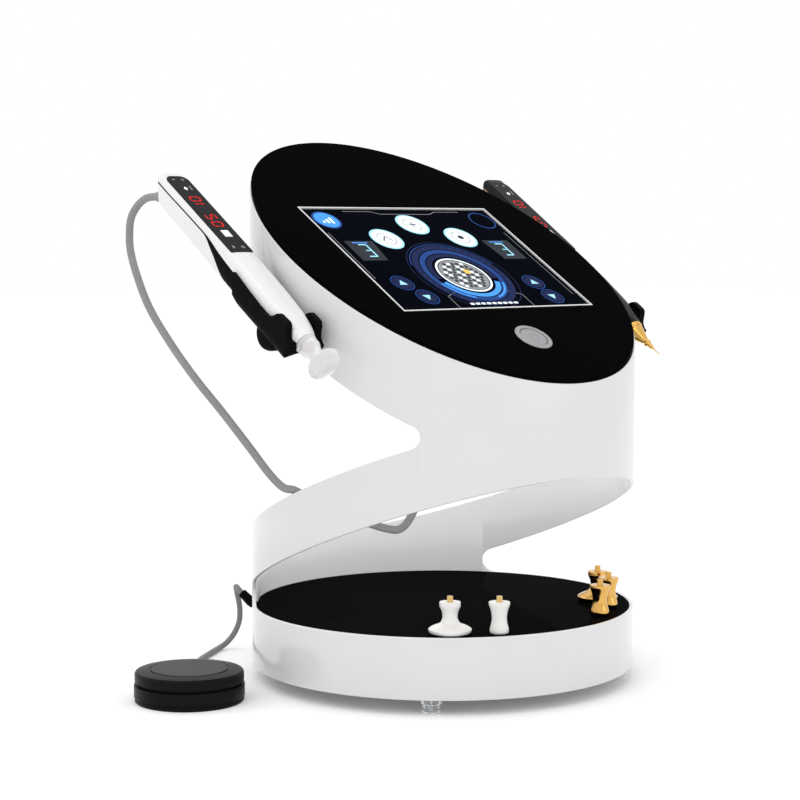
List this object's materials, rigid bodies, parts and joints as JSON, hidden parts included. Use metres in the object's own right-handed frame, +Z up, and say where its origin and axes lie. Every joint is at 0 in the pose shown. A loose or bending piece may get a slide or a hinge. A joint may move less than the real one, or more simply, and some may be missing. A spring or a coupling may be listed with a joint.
{
  "type": "plasma facial unit",
  "caption": "Table-top plasma facial unit: tilted touch-screen drum on an open S-shaped shell, two corded wands in side cradles, foot pedal and spare tips on the tray.",
  "frame": {"origin": "centre of the base's underside, on the axis of the round shell; the feet stand 12 mm below it", "axes": "+X to the user's right, +Y to the back, where the plate is highest, +Z up"},
  "size_m": [0.4643, 0.3595, 0.4503],
  "materials": {
    "white_gloss": "glossy white moulded shell",
    "black_glass": "black back-printed glass, polished",
    "screen": "lit touch screen behind glass",
    "silver": "fine satin aluminium",
    "black_gloss": "glossy black tray",
    "black_plastic": "satin black moulding",
    "grey_plastic": "matt grey",
    "clear_foot": "clear acrylic",
    "steel": "zinc-plated steel",
    "chrome": "chromed",
    "board": "green circuit board",
    "amber": "varnished winding",
    "white_wand": "glossy white wand shell",
    "black_wand": "glossy black wand shell",
    "bronze": "bronze metallic trim",
    "grip_rubber": "soft-touch black trim",
    "key_white": "lit white key",
    "tip_white": "white ceramic",
    "tip_clear": "frosted translucent tip",
    "gold": "polished gold plate",
    "cord_grey": "grey flexible sheath",
    "cord_dark": "dark grey sheath",
    "pad_grey": "stippled grey rubber"
  },
  "bodies": {
    "root": {"base_shell": "white_gloss", "ribbon_shell": "white_gloss", "drum_shell": "white_gloss", "top_plate": "black_glass", "screen_frame": "silver", "touch_glass": "screen", "lcd_panel": "grey_plastic", "drum_floor": "white_gloss", "drum_screws": "steel", "main_board": "board", "plasma_generator": "amber", "tray_disc": "black_gloss", "bottom_plate": "grey_plastic", "feet": "clear_foot", "foot_screws": "steel", "power_supply": "steel", "power_inlet": "black_plastic", "pedal_socket": "black_plastic", "wand_sockets": "chrome", "link_cable": "white_gloss", "button_ring": "silver", "power_switch": "black_plastic", "left_cradle": "black_plastic", "right_cradle": "black_plastic", "cradle_bosses": "black_plastic", "pedal_base": "black_plastic", "pedal_spring": "steel", "wand_cord": "cord_grey", "wand_plug": "chrome", "pedal_cord": "cord_dark", "pedal_plug": "black_plastic"},
    "left_wand": {"left_top_shell": "white_wand", "left_lower_shell": "white_wand", "left_grip": "grip_rubber", "left_window": "black_glass", "left_board": "board", "left_coil": "amber", "left_collar": "tip_white", "left_gland": "cord_grey"},
    "right_wand": {"right_top_shell": "black_wand", "right_lower_shell": "black_wand", "right_grip": "bronze", "right_window": "black_glass", "right_board": "board", "right_coil": "amber", "right_collar": "gold", "right_gland": "grip_rubber"},
    "left_wand_key": {"left_key": "key_white"},
    "right_wand_key": {"right_key": "key_white"},
    "left_wand_tip": {"left_tip": "tip_clear"},
    "right_wand_tip": {"right_tip": "gold"},
    "power_key": {"power_button": "silver"},
    "pedal_top": {"pedal_cap": "black_plastic", "pedal_pad": "pad_grey"},
    "white_disc": {"white_disc_tip": "tip_white"},
    "white_slim": {"white_slim_tip": "tip_white"},
    "gold_disc": {"gold_disc_tip": "gold"},
    "gold_front": {"gold_front_tip": "gold"},
    "gold_rear": {"gold_rear_tip": "gold"}
  },
  "joints": [
    {"name": "power_press", "type": "slide", "parent": "root", "child": "power_key", "axis": [0, 0.518, -0.8554], "range_m": [0, 0.0015], "stiffness_N_per_m": 600},
    {"name": "left_wand_lift", "type": "slide", "parent": "root", "child": "left_wand", "axis": [0, -0.5476, 0.8368], "range_m": [0, 0.06]},
    {"name": "right_wand_lift", "type": "slide", "parent": "root", "child": "right_wand", "axis": [0, -0.5476, 0.8368], "range_m": [0, 0.06]},
    {"name": "left_key_press", "type": "slide", "parent": "left_wand", "child": "left_wand_key", "axis": [0, 0.5476, -0.8368], "range_m": [0, 0.0005], "stiffness_N_per_m": 500},
    {"name": "right_key_press", "type": "slide", "parent": "right_wand", "child": "right_wand_key", "axis": [0, 0.5476, -0.8368], "range_m": [0, 0.0005], "stiffness_N_per_m": 500},
    {"name": "left_tip_pull", "type": "slide", "parent": "left_wand", "child": "left_wand_tip", "axis": [0, -0.8368, -0.5476], "range_m": [0, 0.03]},
    {"name": "right_tip_pull", "type": "slide", "parent": "right_wand", "child": "right_wand_tip", "axis": [0, -0.8368, -0.5476], "range_m": [0, 0.03]},
    {"name": "pedal_press", "type": "slide", "parent": "root", "child": "pedal_top", "axis": [0, 0, -1], "range_m": [0, 0.002], "stiffness_N_per_m": 3000, "deforming": ["pedal_spring"]},
    {"name": "white_disc_lift", "type": "slide", "parent": "root", "child": "white_disc", "axis": [0, 0, 1], "range_m": [0, 0.04]},
    {"name": "white_slim_lift", "type": "slide", "parent": "root", "child": "white_slim", "axis": [0, 0, 1], "range_m": [0, 0.04]},
    {"name": "gold_disc_lift", "type": "slide", "parent": "root", "child": "gold_disc", "axis": [0, 0, 1], "range_m": [0, 0.04]},
    {"name": "gold_front_lift", "type": "slide", "parent": "root", "child": "gold_front", "axis": [0, 0, 1], "range_m": [0, 0.04]},
    {"name": "gold_rear_lift", "type": "slide", "parent": "root", "child": "gold_rear", "axis": [0, 0, 1], "range_m": [0, 0.04]}
  ]
}
